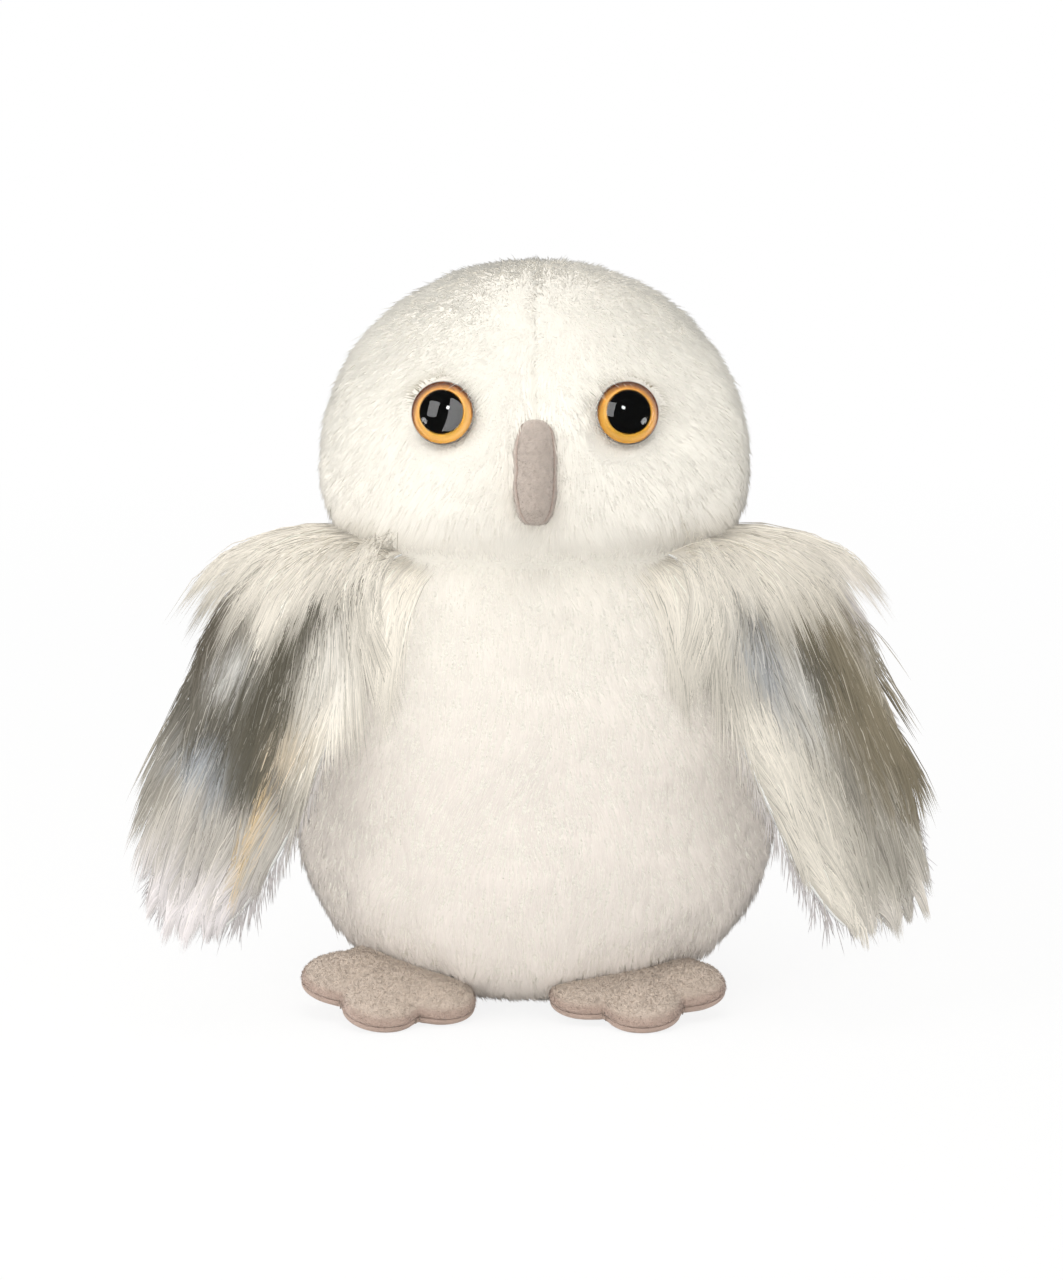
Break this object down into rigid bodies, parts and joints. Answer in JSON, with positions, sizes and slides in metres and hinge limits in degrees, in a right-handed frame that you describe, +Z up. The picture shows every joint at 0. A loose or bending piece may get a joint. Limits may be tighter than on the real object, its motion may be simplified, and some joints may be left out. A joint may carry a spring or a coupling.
{
  "type": "plush owl",
  "caption": "Stuffed plush owl, standing, with a round head, amber safety eyes, a narrow beak, long-pile wings that lift, a short tail and padded three-toed feet.",
  "frame": {"origin": "middle of the flat underside of the base panel, on the floor", "axes": "+Z up, the owl faces -Y, +X towards the owl's own left side"},
  "size_m": [0.2154, 0.1548, 0.2105],
  "materials": {
    "plush": "dense short pile",
    "fibre": "polyester fibre filling",
    "pouch": "plain weave, filled with pellets",
    "velour": "short nap",
    "long_pile": "long pile lying flat",
    "lining": "short pile",
    "clear_plastic": "polished",
    "amber_plastic": "polished",
    "black_plastic": "polished",
    "nylon": "moulded"
  },
  "bodies": {
    "body": {"body_front_panel": "plush", "body_back_left_panel": "plush", "body_back_right_panel": "plush", "body_base_panel": "plush", "pellet_pouch": "pouch", "body_stuffing": "fibre"},
    "head": {"head_face_left_panel": "plush", "head_face_right_panel": "plush", "head_back_left_panel": "plush", "head_back_right_panel": "plush", "head_stuffing": "fibre", "left_eye_dome": "clear_plastic", "left_eye_iris": "amber_plastic", "left_eye_pupil": "black_plastic", "left_eye_shank": "black_plastic", "left_eye_washer": "nylon", "right_eye_dome": "clear_plastic", "right_eye_iris": "amber_plastic", "right_eye_pupil": "black_plastic", "right_eye_shank": "black_plastic", "right_eye_washer": "nylon", "beak_front_panel": "velour", "beak_left_panel": "velour", "beak_right_panel": "velour", "beak_stuffing": "fibre"},
    "left_wing": {"left_wing_fur_panel": "long_pile", "left_wing_wadding": "fibre", "left_wing_lining": "lining"},
    "right_wing": {"right_wing_fur_panel": "long_pile", "right_wing_wadding": "fibre", "right_wing_lining": "lining"},
    "left_foot": {"left_foot_upper_panel": "velour", "left_foot_sole_panel": "velour", "left_foot_stuffing": "fibre"},
    "right_foot": {"right_foot_upper_panel": "velour", "right_foot_sole_panel": "velour", "right_foot_stuffing": "fibre"},
    "tail": {"tail_fur_panel": "long_pile", "tail_wadding": "fibre", "tail_lining": "lining"}
  },
  "joints": [
    {"name": "head_turn", "type": "hinge", "parent": "body", "child": "head", "pos_m": [0, 0, 0.1385], "axis": [0, 0, 1], "range_deg": [-20, 20], "stiffness_Nm_per_rad": 0.25},
    {"name": "left_wing_lift", "type": "hinge", "parent": "body", "child": "left_wing", "pos_m": [0.04809, -0.02769, 0.135], "axis": [-0.5592, -0.829, 0], "range_deg": [-12, 45], "stiffness_Nm_per_rad": 0.05, "springref_deg": 2.86},
    {"name": "right_wing_lift", "type": "hinge", "parent": "body", "child": "right_wing", "pos_m": [-0.04809, -0.02769, 0.135], "axis": [-0.5592, 0.829, 0], "range_deg": [-12, 45], "stiffness_Nm_per_rad": 0.05, "springref_deg": 2.86},
    {"name": "left_foot_flex", "type": "hinge", "parent": "body", "child": "left_foot", "pos_m": [0.02703, -0.02257, 0.0085], "axis": [0.9903, 0.1392, 0], "range_deg": [0, 20], "stiffness_Nm_per_rad": 0.06},
    {"name": "right_foot_flex", "type": "hinge", "parent": "body", "child": "right_foot", "pos_m": [-0.0374, -0.01727, 0.0085], "axis": [0.9781, -0.2079, 0], "range_deg": [0, 20], "stiffness_Nm_per_rad": 0.06},
    {"name": "tail_flex", "type": "hinge", "parent": "body", "child": "tail", "pos_m": [0, 0.05292, 0.03], "axis": [1, 0, 0], "range_deg": [-15, 25], "stiffness_Nm_per_rad": 0.03, "springref_deg": 0.57}
  ]
}
